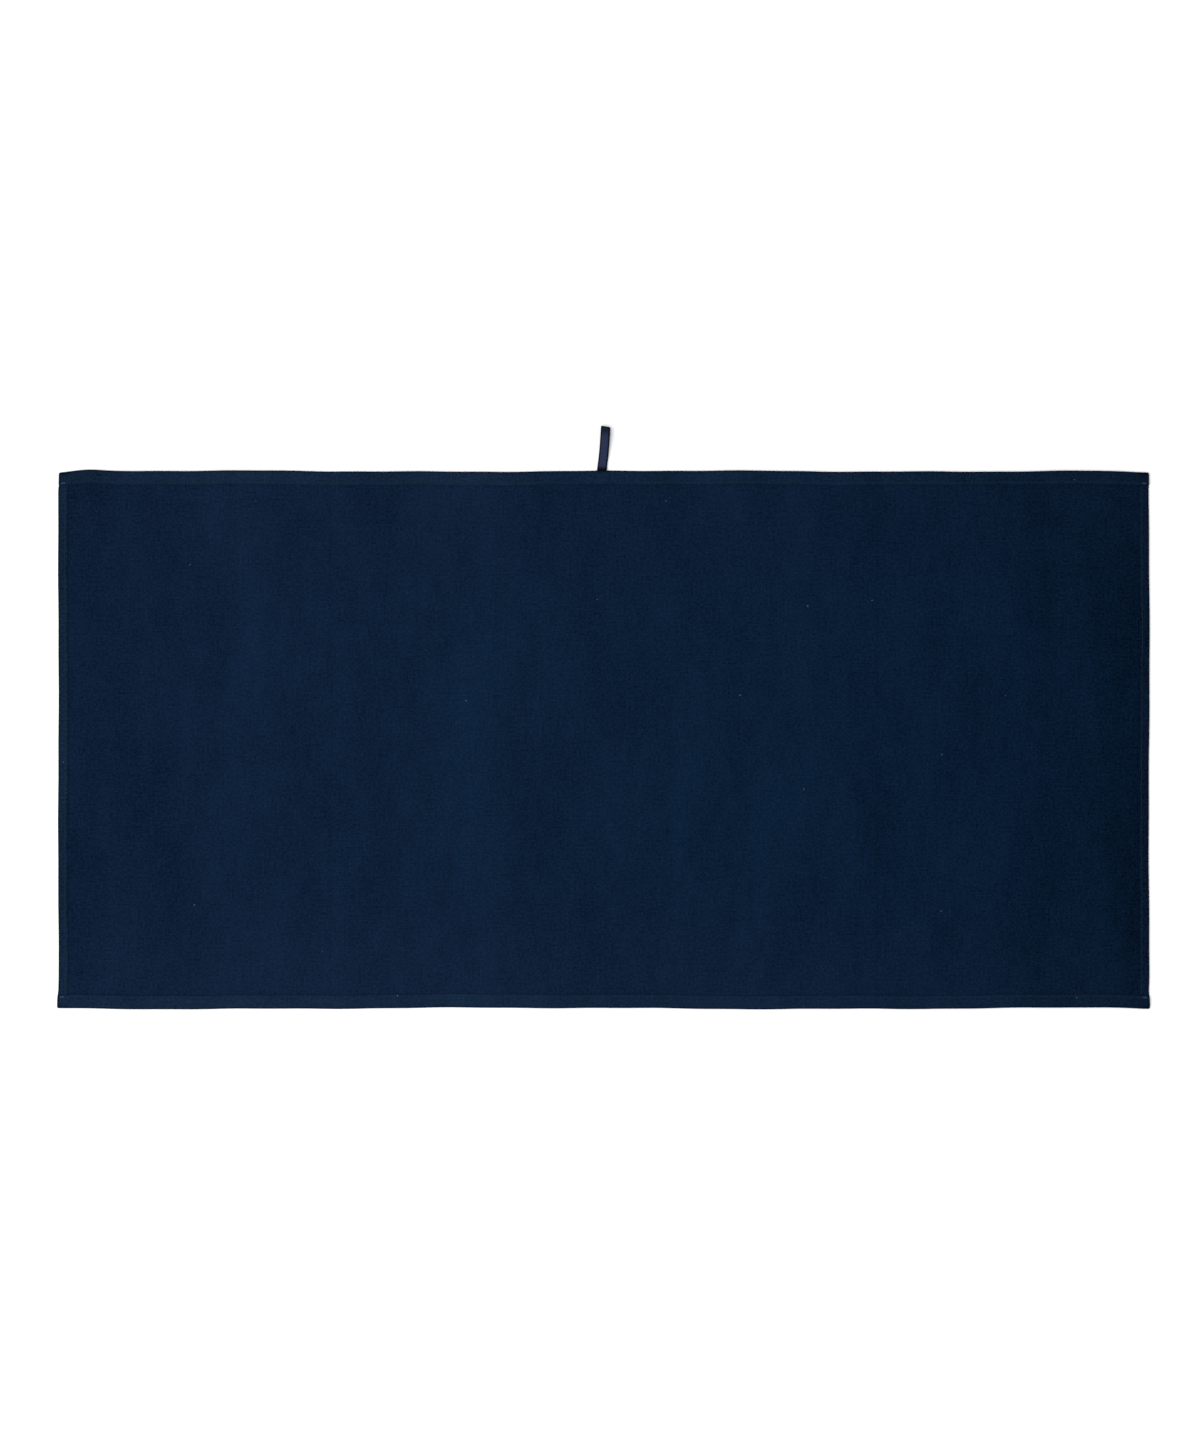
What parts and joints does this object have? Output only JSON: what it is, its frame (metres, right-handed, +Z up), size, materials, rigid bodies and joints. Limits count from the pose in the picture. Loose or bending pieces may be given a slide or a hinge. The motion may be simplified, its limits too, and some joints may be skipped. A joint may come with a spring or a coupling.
{
  "type": "golf towel",
  "caption": "Flat rectangular golf towel of dark woven cloth, hemmed on all sides, with a small tape loop at the middle of a long edge for hanging it on a bag.",
  "frame": {"origin": "on the surface that the towel lies on, under the middle of the towel and its loop together", "axes": "+X along the towel's long side, +Y across it towards the hanging loop, +Z up, out of the side that the hems are turned to"},
  "size_m": [0.8, 0.427, 0.006],
  "materials": {
    "cloth": "dark navy plain-woven cotton, matt",
    "thread": "navy sewing thread, a little lighter than the cloth",
    "tape": "woven navy tape with a slight purple cast"
  },
  "bodies": {
    "middle": {"bottom_bobbin_thread_middle": "thread", "bottom_hem_middle": "cloth", "bottom_needle_thread_middle": "thread", "cloth_middle": "cloth", "loop_tack": "thread", "loop_tails": "tape", "top_bobbin_thread_middle": "thread", "top_hem_middle": "cloth", "top_needle_thread_middle": "thread"},
    "left_quarter": {"bottom_bobbin_thread_left": "thread", "bottom_hem_left": "cloth", "bottom_left_corner_tack": "thread", "bottom_needle_thread_left": "thread", "cloth_left": "cloth", "left_bobbin_thread": "thread", "left_hem": "cloth", "left_needle_thread": "thread", "top_bobbin_thread_left": "thread", "top_hem_left": "cloth", "top_left_corner_tack": "thread", "top_needle_thread_left": "thread"},
    "right_quarter": {"bottom_bobbin_thread_right": "thread", "bottom_hem_right": "cloth", "bottom_needle_thread_right": "thread", "bottom_right_corner_tack": "thread", "cloth_right": "cloth", "right_bobbin_thread": "thread", "right_hem": "cloth", "right_needle_thread": "thread", "top_bobbin_thread_right": "thread", "top_hem_right": "cloth", "top_needle_thread_right": "thread", "top_right_corner_tack": "thread"},
    "loop": {"hanging_loop": "tape"}
  },
  "joints": [
    {"name": "left_fold", "type": "hinge", "parent": "middle", "child": "left_quarter", "pos_m": [-0.2005, 0, 0.0038], "axis": [0, 1, 0], "range_deg": [0, 180]},
    {"name": "right_fold", "type": "hinge", "parent": "middle", "child": "right_quarter", "pos_m": [0.2005, 0, 0.0038], "axis": [0, -1, 0], "range_deg": [0, 180]},
    {"name": "loop_swing", "type": "hinge", "parent": "middle", "child": "loop", "pos_m": [-0.0013, 0.1813, 0.00115], "axis": [1, 0, 0], "range_deg": [0, 90]}
  ]
}
